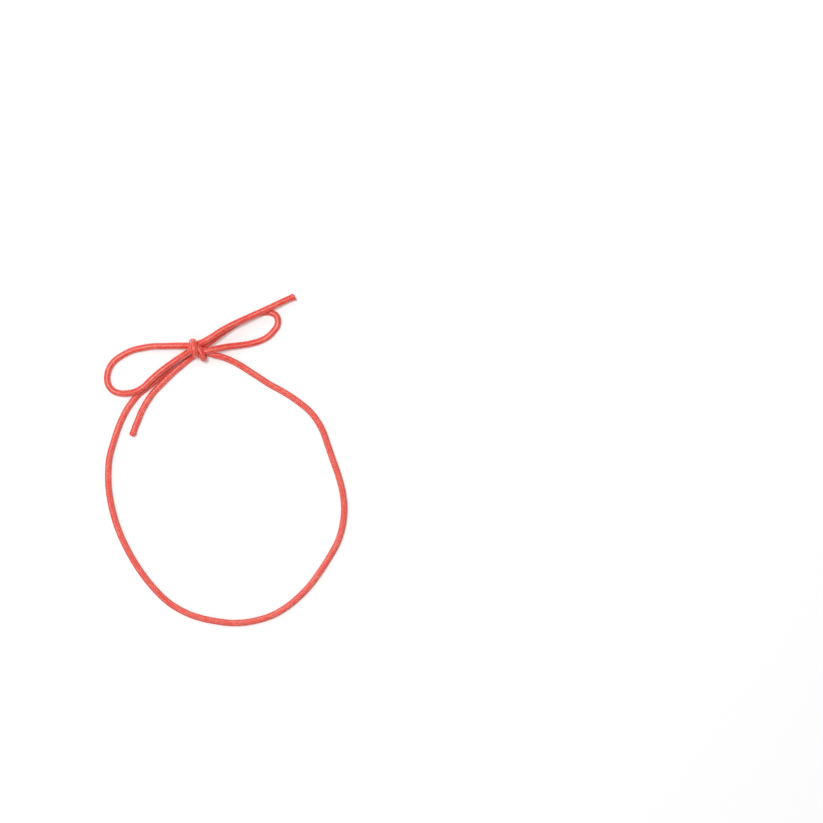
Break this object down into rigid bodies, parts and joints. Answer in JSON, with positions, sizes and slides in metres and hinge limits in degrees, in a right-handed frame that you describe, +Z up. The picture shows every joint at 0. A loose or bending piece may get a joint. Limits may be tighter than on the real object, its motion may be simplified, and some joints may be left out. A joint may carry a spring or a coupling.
{
  "type": "elastic stretch loop",
  "caption": "Round elastic cord with a woven cover whose ends are tied in a bow, which closes it into a loop that stretches round a package, box or bundle.",
  "frame": {"origin": "centre of the footprint of the bounding box, on the surface that the loop lies on", "axes": "+Y from the far bend of the big loop towards the bow, +X to the right as seen from above, +Z up from the surface"},
  "size_m": [0.0758, 0.1035, 0.0081],
  "materials": {
    "woven_cover": "matte woven yarn",
    "rubber_core": "matte"
  },
  "bodies": {
    "knot": {"knot_upper_pass_cover": "woven_cover", "knot_upper_pass_core": "rubber_core", "knot_right_wrap_cover": "woven_cover", "knot_right_wrap_core": "rubber_core", "knot_left_wrap_cover": "woven_cover", "knot_left_wrap_core": "rubber_core", "knot_lower_pass_cover": "woven_cover", "knot_lower_pass_core": "rubber_core", "loop_left_side_cover": "woven_cover", "loop_left_side_core": "rubber_core", "loop_right_side_cover": "woven_cover", "loop_right_side_core": "rubber_core"},
    "far_bend": {"loop_far_bend_cover": "woven_cover", "loop_far_bend_core": "rubber_core"},
    "left_bow": {"left_bow_cover": "woven_cover", "left_bow_core": "rubber_core"},
    "left_tail": {"left_tail_cover": "woven_cover", "left_tail_core": "rubber_core"},
    "right_bow": {"right_bow_cover": "woven_cover", "right_bow_core": "rubber_core"},
    "right_tail": {"right_tail_cover": "woven_cover", "right_tail_core": "rubber_core"}
  },
  "joints": [
    {"name": "loop_stretch", "type": "slide", "parent": "knot", "child": "far_bend", "axis": [0, -1, 0], "range_m": [0, 0.08], "stiffness_N_per_m": 40, "deforming": ["loop_left_side_cover", "loop_left_side_core", "loop_right_side_cover", "loop_right_side_core"]},
    {"name": "left_bow_lift", "type": "hinge", "parent": "knot", "child": "left_bow", "pos_m": [-0.0132, 0.0345, 0.0049], "axis": [-0.3102, 0.9507, 0], "range_deg": [0, 60], "stiffness_Nm_per_rad": 0.0002},
    {"name": "left_tail_lift", "type": "hinge", "parent": "knot", "child": "left_tail", "pos_m": [-0.0135, 0.0295, 0.0018], "axis": [-0.6051, 0.7961, 0], "range_deg": [0, 45], "stiffness_Nm_per_rad": 0.0001},
    {"name": "right_bow_lift", "type": "hinge", "parent": "knot", "child": "right_bow", "pos_m": [-0.0044, 0.0353, 0.0065], "axis": [0.385, -0.9229, 0], "range_deg": [0, 45], "stiffness_Nm_per_rad": 0.0002},
    {"name": "right_tail_lift", "type": "hinge", "parent": "knot", "child": "right_tail", "pos_m": [-0.0044, 0.0353, 0.0065], "axis": [0.385, -0.9229, 0], "range_deg": [0, 45], "stiffness_Nm_per_rad": 0.0001}
  ],
  "couplings": [
    {"joint": "right_tail_lift", "follows": "right_bow_lift", "ratio": 1}
  ]
}
